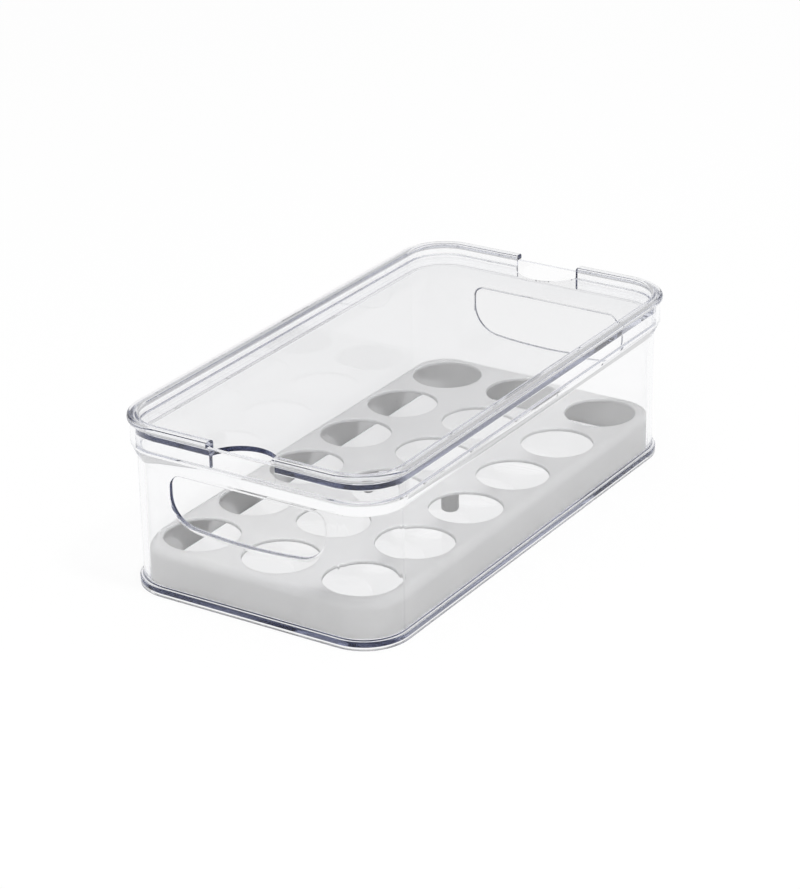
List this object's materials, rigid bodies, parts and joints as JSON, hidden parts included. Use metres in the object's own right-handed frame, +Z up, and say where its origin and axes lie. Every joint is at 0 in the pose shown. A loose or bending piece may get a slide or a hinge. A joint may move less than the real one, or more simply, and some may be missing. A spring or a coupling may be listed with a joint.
{
  "type": "egg keeper",
  "caption": "Clear plastic bin with a handle hole in each short end, a white tray of round egg holes standing in it, and a clear lid nested in its rim.",
  "frame": {"origin": "middle of the foot, on the surface that the bin stands on", "axes": "+X across the width, +Y along the length, +Z up"},
  "size_m": [0.1676, 0.3148, 0.0971],
  "materials": {
    "clear_plastic": "clear, polished, with blue-grey cut edges",
    "white_plastic": "fine satin moulding"
  },
  "bodies": {
    "bin": {"bin": "clear_plastic"},
    "egg_tray": {"egg_tray": "white_plastic"},
    "lid": {"lid": "clear_plastic"}
  },
  "joints": [
    {"name": "tray_lift", "type": "slide", "parent": "bin", "child": "egg_tray", "axis": [0, 0, 1], "range_m": [0, 0.13]},
    {"name": "lid_lift", "type": "slide", "parent": "egg_tray", "child": "lid", "axis": [0, 0, 1], "range_m": [0, 0.08]}
  ]
}
